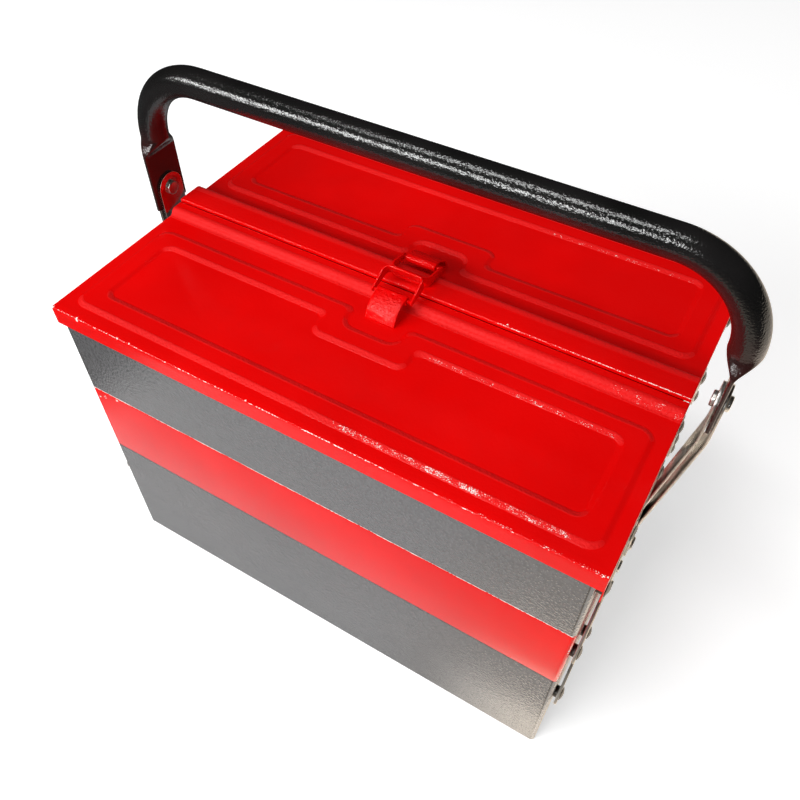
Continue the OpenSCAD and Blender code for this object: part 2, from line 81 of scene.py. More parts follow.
# ---------------------------------------------------------------- materials
class Nodes:
    """Short hand for building a material's node tree in object coordinates."""

    SOCKETS = {"color": "Base Color", "metal": "Metallic", "rough": "Roughness", "ior": "IOR",
               "normal": "Normal", "specular": "Specular IOR Level"}

    def __init__(self, name):
        self.material = bpy.data.materials.new(name)
        self.material.use_nodes = True
        self.tree = self.material.node_tree
        self.tree.nodes.clear()
        out = self.tree.nodes.new("ShaderNodeOutputMaterial")
        self.bsdf = self.tree.nodes.new("ShaderNodeBsdfPrincipled")
        self.link(self.bsdf.outputs[0], out.inputs[0])
        coords = self.tree.nodes.new("ShaderNodeTexCoord")
        self.place = coords.outputs["Object"]

    def add(self, kind, **values):
        node = self.tree.nodes.new(kind)
        for key, value in values.items():
            setattr(node, key, value)
        return node

    def link(self, a, b):
        self.tree.links.new(a, b)

    def put(self, socket, value):
        """Link a node's output to the socket, or set the socket to a constant."""
        if isinstance(value, bpy.types.NodeSocket):
            self.link(value, socket)
        else:
            socket.default_value = value

    def noise(self, scale, detail=2.0, roughness=0.5, stretch=None):
        node = self.add("ShaderNodeTexNoise")
        node.inputs["Scale"].default_value = scale
        node.inputs["Detail"].default_value = detail
        node.inputs["Roughness"].default_value = roughness
        self.link(self.stretched(stretch), node.inputs["Vector"])
        return node.outputs["Fac"]

    def voronoi(self, scale):
        node = self.add("ShaderNodeTexVoronoi", feature="SMOOTH_F1")
        node.inputs["Scale"].default_value = scale
        self.link(self.place, node.inputs["Vector"])
        return node.outputs["Distance"]

    def stretched(self, stretch):
        if stretch is None:
            return self.place
        node = self.add("ShaderNodeMapping")
        node.inputs["Scale"].default_value = stretch
        self.link(self.place, node.inputs["Vector"])
        return node.outputs["Vector"]

    def ramp(self, value, low, high, out_low=0.0, out_high=1.0):
        """Smooth step from out_low at low to out_high at high."""
        node = self.add("ShaderNodeMapRange", interpolation_type="SMOOTHSTEP")
        self.put(node.inputs["Value"], value)
        node.inputs["From Min"].default_value = low
        node.inputs["From Max"].default_value = high
        node.inputs["To Min"].default_value = out_low
        node.inputs["To Max"].default_value = out_high
        return node.outputs["Result"]

    def fall(self, value, low, high):
        """Smooth step from 1 at low to 0 at high."""
        return self.ramp(value, low, high, 1.0, 0.0)

    def math(self, operation, a, b=0.0):
        node = self.add("ShaderNodeMath", operation=operation)
        self.put(node.inputs[0], a)
        self.put(node.inputs[1], b)
        return node.outputs[0]

    def plus(self, a, b):
        return self.math("ADD", a, b)

    def minus(self, a, b):
        return self.math("SUBTRACT", a, b)

    def times(self, a, b):
        return self.math("MULTIPLY", a, b)

    def size_of(self, value):
        return self.math("ABSOLUTE", value)

    def largest(self, first, *rest):
        for value in rest:
            first = self.math("MAXIMUM", first, value)
        return first

    def mix(self, factor, a, b):
        node = self.add("ShaderNodeMix", data_type="RGBA")
        self.put(node.inputs["Factor"], factor)
        self.put(node.inputs["A"], a)
        self.put(node.inputs["B"], b)
        return node.outputs["Result"]

    def bump(self, height, distance, strength=1.0, normal=None):
        node = self.add("ShaderNodeBump")
        node.inputs["Distance"].default_value = distance
        node.inputs["Strength"].default_value = strength
        self.link(height, node.inputs["Height"])
        if normal is not None:
            self.link(normal, node.inputs["Normal"])
        return node.outputs["Normal"]

    def attribute(self, name):
        return self.add("ShaderNodeAttribute", attribute_name=name).outputs["Fac"]

    def axes(self):
        node = self.add("ShaderNodeSeparateXYZ")
        self.link(self.place, node.inputs[0])
        return node.outputs["X"], node.outputs["Y"], node.outputs["Z"]

    def band(self, value, low, high, soft):
        """1 between low and high, with soft edges."""
        rise = self.ramp(value, low - soft, low + soft)
        return self.times(rise, self.fall(value, high - soft, high + soft))

    def spot(self, place, radius):
        """1 at a place on the object, and 0 from the radius on."""
        node = self.add("ShaderNodeVectorMath", operation="DISTANCE")
        self.link(self.place, node.inputs[0])
        node.inputs[1].default_value = place
        return self.fall(node.outputs["Value"], 0.0, radius)

    def spots(self, rows):
        return self.largest(*[self.spot(place, radius) for place, radius in rows])

    def along_x(self, y, z, at, radius):
        """1 on a line along X through (y, z) = at, and 0 from the radius on."""
        dy = self.minus(y, at[0])
        dz = self.minus(z, at[1])
        square = self.plus(self.times(dy, dy), self.times(dz, dz))
        return self.fall(self.math("SQRT", square), 0.0, radius)

    def surface(self, **values):
        for key, value in values.items():
            self.put(self.bsdf.inputs[self.SOCKETS[key]], value)
        return self.material


RED = (0.80, 0.0012, 0.0012, 1.0)
DEEP_RED = (0.70, 0.0010, 0.0010, 1.0)
BARE = (0.88, 0.84, 0.80, 1.0)
PRIMER = (0.80, 0.50, 0.47, 1.0)
RUST = (0.10, 0.045, 0.03, 1.0)
GREYS = ((0.102, 0.101, 0.104, 1.0), (0.124, 0.120, 0.121, 1.0))
GREY_HOLLOW = (0.05, 0.05, 0.051, 1.0)
# Painted highlight on the rounded edge of each end plate.
GREY_END_HIGHLIGHT = (0.27, 0.26, 0.25, 1.0)
GREY_SEAM = (0.015, 0.014, 0.014, 1.0)
GREY_BARE = (0.62, 0.60, 0.57, 1.0)
BLACKS = ((0.005, 0.005, 0.0048, 1.0), (0.012, 0.011, 0.011, 1.0))
# Painted reflection of the red lids on the handle's flat ends.
MAROON_LID_REFLECTION = (0.030, 0.008, 0.007, 1.0)

# Scales of the noises, in cycles per metre.
CHIP_NOISE = 800.0
ORANGE_PEEL = 620.0
FINE_PEEL = 1500.0
SPECK_NOISE = 1500.0
HAMMERED_CELLS = 640.0
COAT_DROPS = 820.0

MASK_LIMIT = 0.90
MASK_REACH = 0.40
MASK_EDGE = 0.02

# Strips of painted glints (white specks) on the lids: y from and to, softness, x where it rises, x
# where it falls, share.
GLINT_STRIPS = (
    (-0.1182, -0.1148, 0.0006, (-0.06, 0.05), (0.155, 0.175), 0.90),
    (-0.0468, -0.0444, 0.0004, (0.030, 0.045), (0.155, 0.165), 0.80),
    (0.1010, 0.1034, 0.0004, (0.02, 0.06), (0.155, 0.165), 0.76),
)
# The same painted glints on the shoulder and on the front bend: y from and to, softness, x from
# and to, share.
GLINT_SHOULDER = (-0.0175, -0.0120, 0.0010, (0.08, 0.15), 0.70)
GLINT_FRONT = (-0.1276, -0.1262, 0.0004, (0.02, 0.12), 0.84)

LID_BEND = (0.1277, 0.2471)
CAP_EDGE = (-0.0038, 0.2538)
LID_EDGE_R = 0.0010
LID_KNOCKS = (
    ((-0.163, -0.128, 0.2466), 0.0045),
    ((-0.147, -0.128, 0.2462), 0.0040),
    ((-0.1835, -0.1275, 0.2474), 0.0035),
    ((-0.129, -0.1275, 0.2472), 0.0028),
    ((-0.120, -0.1275, 0.2472), 0.0028),
    ((-0.031, -0.1275, 0.2472), 0.0030),
    ((0.183, -0.1275, 0.2474), 0.0055),
    ((0.084, -0.006, 0.2538), 0.0030),
    ((0.071, -0.002, 0.2538), 0.0022),
)
TRAY_RIM = (0.1261, 0.1735)
TRAY_RIM_R = 0.0011
TRAY_KNOCKS = (
    ((-0.170, -0.1267, 0.168), 0.0055),
    ((-0.158, -0.1267, 0.171), 0.0040),
    ((-0.176, -0.1267, 0.165), 0.0030),
)
KNOCK_WEAR = 1.15


def chip_and_glint_mask(n, wear_and_glint, fine, broad):
    """Mask of chipped paint and of painted glint specks; it grows from none when the wear is 0 to
    about half when it is 1.
    """
    chance = n.plus(n.times(fine, 0.6), n.times(broad, 0.4))
    limit = n.minus(MASK_LIMIT, n.times(wear_and_glint, MASK_REACH))
    return n.ramp(n.minus(chance, limit), 0.0, MASK_EDGE)


def red_paint(name, wear, peel, rough=(0.13, 0.19)):
    """Glossy red paint with orange peel.

    wear is a number or a function of the nodes. peel is a number, or the name of the attribute
    that says how far a lid's sheet is bent; with the attribute, painted glints are drawn as white
    specks on the lid's slopes.
    """
    n = Nodes(name)
    wear_and_glint = wear(n) if callable(wear) else wear
    color = n.mix(n.ramp(n.noise(9.0, 3.0, 0.55), 0.35, 0.7), DEEP_RED, RED)
    fine = n.noise(CHIP_NOISE, 3.0, 0.6)
    chip = chip_and_glint_mask(n, wear_and_glint, fine, n.noise(70.0, 3.0, 0.6))
    drops = n.noise(ORANGE_PEEL, 2.0, 0.55)
    sheen = n.ramp(n.noise(30.0, 3.0, 0.6), 0.3, 0.7, *rough)
    if isinstance(peel, str):
        bent = n.attribute(peel)
        # Painted glints: white specks on the lid's slopes, shoulder and front bend join the chips.
        chip = n.largest(chip, painted_glint_specks(n, bent))
        drops = n.times(drops, n.ramp(bent, 0.0, 1.0, 0.12, 1.0))
        sheen = n.plus(sheen, n.ramp(bent, 0.1, 0.8, 0.0, 0.42))
    else:
        drops = n.times(drops, peel)
    # Chips and painted glint specks both take the colour of primer and bare metal.
    color = n.mix(chip, color, n.mix(n.ramp(fine, 0.40, 0.52), PRIMER, BARE))
    normal = n.bump(drops, 0.0008, 0.8)
    normal = n.bump(n.noise(FINE_PEEL, 2.0, 0.5), 0.00004, 0.6, normal)
    normal = n.bump(chip, 0.0001, 0.6, normal)
    return n.surface(color=color, rough=sheen, ior=1.5, normal=normal, specular=0.24)


def painted_glint_specks(n, bent):
    """Painted glints: fine white specks, coloured like bare metal, on the slopes of a lid's frame,
    its shoulder and its front.
    """
    x, y, _ = n.axes()
    strips = []
    for low, high, soft, rise, fall, share in GLINT_STRIPS:
        part = n.times(n.ramp(x, *rise), n.fall(x, *fall))
        strips.append(n.times(n.times(n.band(y, low, high, soft), part), share))
    low, high, soft, rise, share = GLINT_SHOULDER
    strips.append(n.times(n.band(y, low, high, soft), n.ramp(x, *rise, 0.0, share)))
    wear_and_glint = n.times(n.largest(*strips), n.ramp(bent, 0.15, 0.35))
    low, high, soft, rise, share = GLINT_FRONT
    front = n.times(n.band(y, low, high, soft), n.ramp(x, *rise, 0.0, share))
    fine = n.noise(SPECK_NOISE, 2.0, 0.6)
    return chip_and_glint_mask(n, n.largest(wear_and_glint, front), fine, n.noise(160.0, 3.0, 0.6))


def lid_wear_and_glints(n):
    """Paint rubbed off at single places of a lid, and thin bare lines along the outer bends and
    the cap's edge which are partly rubbed paint and partly painted highlights.
    """
    x, y, z = n.axes()
    # Thin bare line along each outer bend: partly rubbed paint, partly a painted highlight.
    bend = n.along_x(n.size_of(y), z, LID_BEND, LID_EDGE_R)
    bend = n.times(bend, n.minus(1.02, n.times(n.ramp(x, 0.0, 0.17), 0.10)))
    # Thin bare line along the cap's edge: partly rubbed paint, partly a painted highlight,
    # stronger to the right.
    cap = n.along_x(y, z, CAP_EDGE, LID_EDGE_R)
    cap = n.times(cap, n.ramp(x, -0.10, 0.17, 0.70, 1.15))
    return n.largest(bend, cap, n.times(n.spots(LID_KNOCKS), KNOCK_WEAR))


def tray_wear_and_rim_glint(n):
    """Bare upright corners of a red tray, a bare line along its rims that is partly rubbed paint
    and partly a painted highlight, and a few knocks.
    """
    x, y, z = n.axes()
    end = n.ramp(n.size_of(x), 0.1790, 0.1808)
    face = n.ramp(n.size_of(y), 0.1235, 0.1262)
    corner = n.times(n.times(end, face), 1.25)
    # Line along the rim: partly rubbed paint, partly a painted highlight.
    rim = n.times(n.along_x(n.size_of(y), z, TRAY_RIM, TRAY_RIM_R), 1.35)
    return n.largest(corner, rim, n.times(n.spots(TRAY_KNOCKS), KNOCK_WEAR))


def grey_paint(name, wear):
    """Grey hammered paint; a painted highlight as a paler strip on the end plate's edge, and a
    seam, at each corner.
    """
    n = Nodes(name)
    x, y, _ = n.axes()
    color = n.mix(n.ramp(n.noise(6.0, 3.0, 0.6), 0.3, 0.7), *GREYS)
    cells = n.voronoi(HAMMERED_CELLS)
    fine = n.noise(1300.0, 3.0, 0.6)
    color = n.mix(n.ramp(cells, 0.15, 0.75, 0.0, 0.40), color, GREY_HOLLOW)
    end = n.size_of(x)
    face = n.ramp(n.size_of(y), 0.1255, 0.1262)
    # Painted highlight: a paler strip on each end plate's rounded edge, near the front and back
    # faces.
    end_highlight = n.ramp(end, 0.1784, 0.1790)
    seam = n.minus(n.ramp(end, 0.1776, 0.1780), n.ramp(end, 0.1784, 0.1788))
    color = n.mix(n.times(end_highlight, n.times(face, 0.4)), color, GREY_END_HIGHLIGHT)
    color = n.mix(n.times(n.times(seam, face), 0.9), color, GREY_SEAM)
    chip = chip_and_glint_mask(n, wear, n.noise(CHIP_NOISE, 3.0, 0.6), n.noise(60.0, 3.0, 0.6))
    color = n.mix(chip, color, GREY_BARE)
    normal = n.bump(cells, 0.00045, 0.8)
    normal = n.bump(fine, 0.00006, 0.8, normal)
    return n.surface(color=color, rough=0.19, ior=1.95, normal=normal, specular=0.5)


def black_coat(name):
    """Black hammered coat on the handle, with a painted dark maroon reflection of the red lids
    towards its flat ends.
    """
    n = Nodes(name)
    _, _, z = n.axes()
    color = n.mix(n.ramp(n.noise(14.0, 2.0), 0.3, 0.7), *BLACKS)
    # Painted reflection of the red lids: the low part of the handle turns dark maroon.
    height = n.plus(z, n.times(n.noise(30.0, 3.0), 0.02))
    low = n.fall(height, 0.300, 0.325)
    color = n.mix(n.times(low, 0.8), color, MAROON_LID_REFLECTION)
    normal = n.bump(n.noise(COAT_DROPS, 1.0, 0.5), 0.00030, 0.75)
    normal = n.bump(n.noise(1100.0, 3.0, 0.6), 0.00006, 0.7, normal)
    return n.surface(color=color, rough=0.16, ior=1.6, normal=normal, specular=0.5)


def steel(name, color, rough, rust, left_rough=None):
    """Zinc plated steel with brushed lines, dull stains and a little rust.

    left_rough scales the roughness at the left end of the box.
    """
    n = Nodes(name)
    streaks = n.noise(160.0, 3.0, 0.6, stretch=(1.0, 3.0, 1.0))
    stain = n.noise(45.0, 5.0, 0.65)
    dark = tuple(c * 0.80 for c in color) + (1.0,)
    tone = n.mix(n.ramp(streaks, 0.3, 0.7), dark, tuple(color) + (1.0,))
    tone = n.mix(n.ramp(stain, 0.62, 0.8, 0.0, rust), tone, RUST)
    roughness = n.ramp(stain, 0.3, 0.8, rough, rough + 0.3)
    if left_rough is not None:
        x, _, _ = n.axes()
        roughness = n.times(roughness, n.ramp(x, -0.02, 0.02, left_rough, 1.0))
    normal = n.bump(n.noise(700.0, 3.0), 0.00006, 0.4)
    return n.surface(color=tone, metal=n.ramp(stain, 0.6, 0.8, 1.0, 0.4), rough=roughness,
                     normal=normal)


MATERIALS = {
    "red": red_paint("red_paint", tray_wear_and_rim_glint, 0.12),
    "red_edge": red_paint("red_paint_edge", 0.75, 0.2),
    "red_lid": red_paint("red_paint_lid", lid_wear_and_glints, "peel"),
    "red_hasp": red_paint("red_paint_hasp", 0.25, 1.0, (0.10, 0.14)),
    "red_hasp_edge": red_paint("red_paint_hasp_edge", 0.62, 0.8, (0.10, 0.14)),
    "grey": grey_paint("grey_paint", 0.0),
    "grey_edge": grey_paint("grey_paint_edge", 0.8),
    "black": black_coat("black_coat"),
    "arm": steel("arm_steel", (0.56, 0.53, 0.49), 0.34, 0.35),
    "strap": steel("strap_steel", (0.74, 0.72, 0.69), 0.24, 0.25, 0.4),
    # Painted highlights: the rounded edges of arms and brackets get a paler tan steel.
    "strap_edge_highlight": steel("strap_steel_edge_highlight", (0.85, 0.78, 0.68), 0.48, 0.2),
    "rivet": steel("rivet_zinc", (0.72, 0.70, 0.66), 0.26, 0.4),
    "arm_rivet": steel("rivet_dull", (0.20, 0.19, 0.175), 0.42, 0.6),
}


# ---------------------------------------------------------------- mesh helpers
def link_object(name, mesh):
    obj = bpy.data.objects.new(name, mesh)
    bpy.context.scene.collection.objects.link(obj)
    return obj


def new_object(name, verts, faces, material, smooth=True):
    mesh = bpy.data.meshes.new(name)
    mesh.from_pydata([tuple(v) for v in verts], [], [tuple(f) for f in faces])
    mesh.validate()
    mesh.materials.append(material)
    obj = link_object(name, mesh)
    if smooth:
        mesh.shade_smooth()
    return obj


@contextlib.contextmanager
def editing(mesh):
    """A bmesh of the mesh, which is written back at the end."""
    bm = bmesh.new()
    bm.from_mesh(mesh)
    yield bm
    bm.to_mesh(mesh)
    bm.free()


def add_bevel(obj, width, segments, angle):
    mod = obj.modifiers.new("round", "BEVEL")
    mod.width = width
    mod.segments = segments
    mod.limit_method = "ANGLE"
    mod.angle_limit = math.radians(angle)
    mod.use_clamp_overlap = True
    return mod


def apply_modifiers(obj):
    graph = bpy.context.evaluated_depsgraph_get()
    mesh = bpy.data.meshes.new_from_object(obj.evaluated_get(graph))
    old = obj.data
    name = old.name
    obj.modifiers.clear()
    obj.data = mesh
    bpy.data.meshes.remove(old)
    mesh.name = name


def sharpen(obj, angle):
    obj.data.set_sharp_from_angle(angle=math.radians(angle))


def body_of(node):
    for body, names in frame["record"]["behaviour"]["bodies"].items():
        if node in names:
            return body
    raise KeyError(node)


def stand_for(obj, node):
    """Let the object stand for a CAD node: on its body and in its place."""
    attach(obj, body_of(node))
    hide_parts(node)


MERGE = 1e-6
COPLANAR = 0.2
BEVEL_ANGLE = 30.0
SHARP_ANGLE = 35.0


def bevelled(node, width, face, edge, segments=3):
    """A copy of a CAD node with rounded edges, which stands for it."""
    mesh = frame["nodes"][node].data.copy()
    mesh.name = node + "_skin"
    with editing(mesh) as bm:
        bmesh.ops.remove_doubles(bm, verts=bm.verts, dist=MERGE)
        bmesh.ops.dissolve_limit(bm, angle_limit=math.radians(COPLANAR), verts=bm.verts,
                                 edges=bm.edges)
    mesh.materials.clear()
    mesh.materials.append(MATERIALS[face])
    mesh.materials.append(MATERIALS[edge])
    mesh.polygons.foreach_set("material_index", [0] * len(mesh.polygons))
    obj = link_object(node + "_skin", mesh)
    add_bevel(obj, width, segments, BEVEL_ANGLE).material = 1
    apply_modifiers(obj)
    obj.data.shade_smooth()
    sharpen(obj, SHARP_ANGLE)
    stand_for(obj, node)


# ---------------------------------------------------------------- lids, in millimetres
LID_X = 185.0
LID_Y = 128.0
LID_Z = 247.4
FLANGE_Z = 234.0
HINGE_Y, HINGE_Z = -115.0, 217.0
EAR_R = 8.0
SHEET = 0.8
SAG = 0.35

# Rounded boxes of the front lid's pressed frame: centre x and y, half sizes in x and y, radius.
FRAME_OUTER = (0, -74.5, 177, 43.5, 10)
FRAME_NOTCH = (0, -24, 18.5, 23, 7)
FRAME_INNER = (0, -74, 160.5, 27.5, 5)
FRAME_STEM = (0, -43.5, 34, 20, 8)
NOTCH_BLEND = 7
STEM_BLEND = 6
FRAME_H = 1.3
FRAME_FOOT = 0.6
FRAME_RUN = 4.4

# Places where the grid of a lid is fine, because the frame's slopes are there.
FINE_X = [-177, -174, -163, -160, -34, -31, -21, -18, 18, 21, 31, 34, 160, 163, 174, 177]
FINE_Y = [-118, -115, -104, -101, -64, -61, -50, -46.5, -34, -31]
FINE_STEP = 0.75
GRID_GROWTH = 0.6
SLOPE_GAP = 1.2
EAR_GAP = 0.3
EAR_TURNS = np.arange(-90.0, 91.0, 11.25)

BEND_STEPS = 9
BEND_PROBE = 0.4
FULL_BEND = 0.25
FLANGE_BENT = 0.15
LID_MERGE = 2e-5
LID_BEVEL = 1.1
LID_BEVEL_ANGLE = 55
LID_SHARP_ANGLE = 50
TINY = 1e-6


def sdf_box(x, y, cx, cy, hx, hy, r):
    """Signed distance to a rounded box."""
    qx = np.abs(x - cx) - hx + r
    qy = np.abs(y - cy) - hy + r
    return np.hypot(np.maximum(qx, 0), np.maximum(qy, 0)) + np.minimum(np.maximum(qx, qy), 0) - r


def smooth_max(a, b, k):
    h = np.clip(0.5 + 0.5 * (a - b) / k, 0, 1)
    return b + (a - b) * h + k * h * (1 - h)


def frame_height(x, y):
    """Height of the pressed frame above the flat of the front lid."""
    outer = smooth_max(sdf_box(x, y, *FRAME_OUTER), -sdf_box(x, y, *FRAME_NOTCH), NOTCH_BLEND)
    inner = smooth_max(sdf_box(x, y, *FRAME_INNER), -sdf_box(x, y, *FRAME_STEM), STEM_BLEND)
    inside = -np.maximum(outer, -inner)
    t = np.clip((inside + FRAME_FOOT) / FRAME_RUN, 0, 1)
    return float(FRAME_H * t * t * (3 - 2 * t))


def sag_at(x, y, slope_y):
    """How far the flat hangs, most in the middle and nothing at its borders."""
    across = math.sin(math.pi * (x + LID_X) / (2 * LID_X)) ** 2
    along = max(0.0, math.sin(math.pi * (y + LID_Y) / (LID_Y + slope_y))) ** 2
    return SAG * across * along


def bent_at(x, y):
    """1 on the steep parts of the frame's slopes and 0 on the flat."""
    step = frame_height(x, y + BEND_PROBE) - frame_height(x, y - BEND_PROBE)
    return min(1.0, abs(step) / FULL_BEND)


def lines(low, high, points, near, coarse):
    """Coordinates from low to high: coarse all over, fine within reach of the points."""
    out = [low]
    while out[-1] < high - TINY:
        d = min(abs(out[-1] - p) for p in points)
        step = FINE_STEP if d < near else min(coarse, FINE_STEP + (d - near) * GRID_GROWTH)
        out.append(min(high, out[-1] + step))
    return np.array(out)


def s_bend(run, rise, off):
    """Points of two equal arcs that lead from (0, 0) to (run, rise), level at both ends."""
    turn = 2 * math.atan2(rise, run)
    r = run / (2 * math.sin(turn))
    angles = [turn * i / BEND_STEPS for i in range(BEND_STEPS + 1)]
    first = [((r - off) * math.sin(a), r - (r - off) * math.cos(a)) for a in angles]
    second = [(run - (r + off) * math.sin(a), rise - r + (r + off) * math.cos(a))
              for a in angles[-2::-1]]
    return first + second


def lid_ys(slope_y):
    """Rows over a lid's flat, with the columns of the ear among them."""
    ys = lines(-LID_Y, slope_y - SLOPE_GAP, FINE_Y, 3.2, 5.0)
    ear_ys = HINGE_Y + EAR_R * np.sin(np.radians(EAR_TURNS))
    ys = np.array([y for y in ys if min(abs(ear_ys - y)) > EAR_GAP or y == ys[-1]])
    return np.sort(np.concatenate([ys, ear_ys]))


def end_column(y, z):
    """Heights of an end flange under (y, z), down to the ear where there is one."""
    levels = [z + (FLANGE_Z - z) * f for f in (0.3, 0.65, 1.0)]
    d = y - HINGE_Y
    if abs(d) < EAR_R + TINY:
        low = HINGE_Z - math.sqrt(max(0.0, EAR_R ** 2 - d * d))
        levels += [FLANGE_Z + (low - FLANGE_Z) * f for f in (0.33, 0.66, 1.0)]
    return levels


def make_lid(name, node, slope_y, run, rise, flat, lip, rear=False):
    """A folded lid, made as the front one and mirrored for the rear."""
    xs = lines(-LID_X, LID_X, FINE_X, 3.5, 7.0)
    mid = LID_Z - SHEET / 2
    ridge_y = slope_y + run
    ridge_z = LID_Z + rise
    flange = [(-LID_Y, FLANGE_Z + (LID_Z - FLANGE_Z) * f) for f in (0, 0.35, 0.7)]
    panel = [(y, LID_Z) for y in lid_ys(slope_y)]
    bend = [(slope_y + dy, mid + dz) for dy, dz in s_bend(run, rise, SHEET / 2)]
    ridge = [(ridge_y + flat * f, ridge_z) for f in (0.25, 0.5, 0.75, 1.0)]
    edge = [(ridge_y + flat, ridge_z - lip * f) for f in (0.5, 1.0)]
    top = panel + bend + ridge

    verts = []
    bent = []
    for y, z in flange:
        verts += [(x, y, z) for x in xs]
        bent += [FLANGE_BENT] * len(xs)
    for y, z in panel:
        verts += [(x, y, z + (frame_height(x, y) - sag_at(x, y, slope_y))) for x in xs]
        bent += [bent_at(x, y) for x in xs]
    for rows, value in ((bend, 1.0), (ridge + edge, FLANGE_BENT)):
        verts += [(x, y, z) for y, z in rows for x in xs]
        bent += [value] * (len(rows) * len(xs))
    nx = len(xs)
    faces = []
    for i in range(len(flange) + len(top) + len(edge) - 1):
        for j in range(nx - 1):
            a = i * nx + j
            faces.append((a, a + 1, a + nx + 1, a + nx))

    # end flanges, each with the ear that hangs round the hinge
    for side in (0, nx - 1):
        previous = None
        for k, (y, z) in enumerate(top):
            column = [(len(flange) + k) * nx + side]
            for level in end_column(y, z):
                column.append(len(verts))
                verts.append((xs[side], y, level))
                bent.append(FLANGE_BENT)
            if previous:
                for m in range(min(len(column), len(previous)) - 1):
                    quad = (previous[m], column[m], column[m + 1], previous[m + 1])
                    faces.append(quad if side == 0 else quad[::-1])
            previous = column
    verts = [(x * MM, y * MM, z * MM) for x, y, z in verts]
    if rear:
        verts = [(x, -y, z) for x, y, z in verts]
        faces = [f[::-1] for f in faces]

    obj = new_object(name, verts, faces, MATERIALS["red_lid"])
    layer = obj.data.attributes.new("peel", "FLOAT", "POINT")
    layer.data.foreach_set("value", bent)
    with editing(obj.data) as bm:
        bmesh.ops.remove_doubles(bm, verts=bm.verts, dist=LID_MERGE)
        bmesh.ops.recalc_face_normals(bm, faces=bm.faces)
    add_bevel(obj, LID_BEVEL * MM, 3, LID_BEVEL_ANGLE)
    mod = obj.modifiers.new("sheet", "SOLIDIFY")
    mod.thickness = SHEET * MM
    mod.offset = -1.0
    apply_modifiers(obj)
    obj.data.shade_smooth()
    sharpen(obj, LID_SHARP_ANGLE)
    stand_for(obj, node)


make_lid("front_lid_sheet", "front_lid", slope_y=-17.5, run=6.0, rise=4.2, flat=7.0, lip=4.2)
make_lid("rear_lid_sheet", "rear_lid", slope_y=-21.0, run=8.0, rise=6.4, flat=17.0, lip=2.6,
         rear=True)


# ---------------------------------------------------------------- boxes
BOX_ROUND = 0.0006

bevelled("base_box", BOX_ROUND, "grey", "grey_edge")
for half in ("front", "rear"):
    bevelled(half + "_top_tray", BOX_ROUND, "grey", "grey_edge")
    bevelled(half + "_middle_tray", BOX_ROUND, "red", "red_edge")

# ---------------------------------------------------------------- arms, brackets, rivets
ARM_ROUND = 0.00035
STRAP_ROUND = 0.0004
RIVET_ROUND = 0.0003

# Arms and brackets get painted highlights on their rounded edges.
for name in frame["nodes"]:
    if "arm" in name or "link" in name:
        bevelled(name, ARM_ROUND, "arm", "strap_edge_highlight", segments=2)
    elif name.startswith("bracket_") and "rivets" not in name:
        bevelled(name, STRAP_ROUND, "strap", "strap_edge_highlight", segments=2)
    elif name in ("handle_pivot_rivets", "bracket_rivets"):
        bevelled(name, RIVET_ROUND, "rivet", "rivet", segments=2)
    elif "rivets" in name:
        for slot in frame["nodes"][name].material_slots:
            slot.material = MATERIALS["arm_rivet"]


# ---------------------------------------------------------------- handle, in millimetres
LEG_X = 199.2
GRIP_Z = 346.0
PIVOT_Z = 257.3
BEND_R = 49.0
TUBE_R = 9.5
TUBE_SIDES = 64
FLAT_W = 29.0
FLAT_T = 2.8
FLAT_BELOW = 13.0
FLAT_ABOVE = 28
FLAT_RUN = 12
LEG_STEPS = 40
ARC_STEPS = 33
LEG_SINE = 0.3
FLAT_POWER = 5.0
HANDLE_SHARP_ANGLE = 50


def handle_path():
    """Centre line of the right half, from the flat's lower end to the middle of the grip.

    Each point is x, z and the sine and cosine of the tube's turn from upright.
    """
    points = [(LEG_X, z, 0.0, 1.0)
              for z in np.linspace(PIVOT_Z - FLAT_BELOW, GRIP_Z - BEND_R, LEG_STEPS)]
    for degrees in np.linspace(0, 90, ARC_STEPS)[1:]:
        a = math.radians(degrees)
        points.append((LEG_X - BEND_R + BEND_R * math.cos(a),
                       GRIP_Z - BEND_R + BEND_R * math.sin(a), math.sin(a), math.cos(a)))
    points += [(x, GRIP_Z, 1.0, 0.0) for x in np.linspace(LEG_X - BEND_R, 0, LEG_STEPS)[1:]]
    return points


def power_of(value, power):
    return math.copysign(abs(value) ** (2 / power), value)


def make_handle():
    """The tube, which turns from a circle into a flattened oval at its lower ends."""
    right = handle_path()
    path = right + [(-x, z, s, -c) for x, z, s, c in right[-2::-1]]
    verts = []
    for x, z, s, c in path:
        t = min(1.0, max(0.0, (z - PIVOT_Z - FLAT_ABOVE) / FLAT_RUN)) if s < LEG_SINE else 1.0
        t = t * t * (3 - 2 * t)
        half_w = FLAT_W / 2 + (TUBE_R - FLAT_W / 2) * t
        half_t = FLAT_T / 2 + (TUBE_R - FLAT_T / 2) * t
        power = 2.0 + FLAT_POWER * (1 - t)
        for k in range(TUBE_SIDES):
            a = 2 * math.pi * k / TUBE_SIDES
            u = half_t * power_of(math.cos(a), power)
            v = half_w * power_of(math.sin(a), power)
            verts.append((x + c * u, v, z + s * u))
    faces = []
    for i in range(len(path) - 1):
        for k in range(TUBE_SIDES):
            a = i * TUBE_SIDES + k
            b = i * TUBE_SIDES + (k + 1) % TUBE_SIDES
            faces.append((a, b, b + TUBE_SIDES, a + TUBE_SIDES))
    faces.append(tuple(range(TUBE_SIDES))[::-1])
    faces.append(tuple(range((len(path) - 1) * TUBE_SIDES, len(path) * TUBE_SIDES)))
    obj = new_object("handle_tube", [(x * MM, y * MM, z * MM) for x, y, z in verts], faces,
                     MATERIALS["black"])
    with editing(obj.data) as bm:
        bmesh.ops.recalc_face_normals(bm, faces=bm.faces)
    sharpen(obj, HANDLE_SHARP_ANGLE)
    stand_for(obj, "handle")


make_handle()

# ---------------------------------------------------------------- hasps
HASP_ROUND = 0.00025

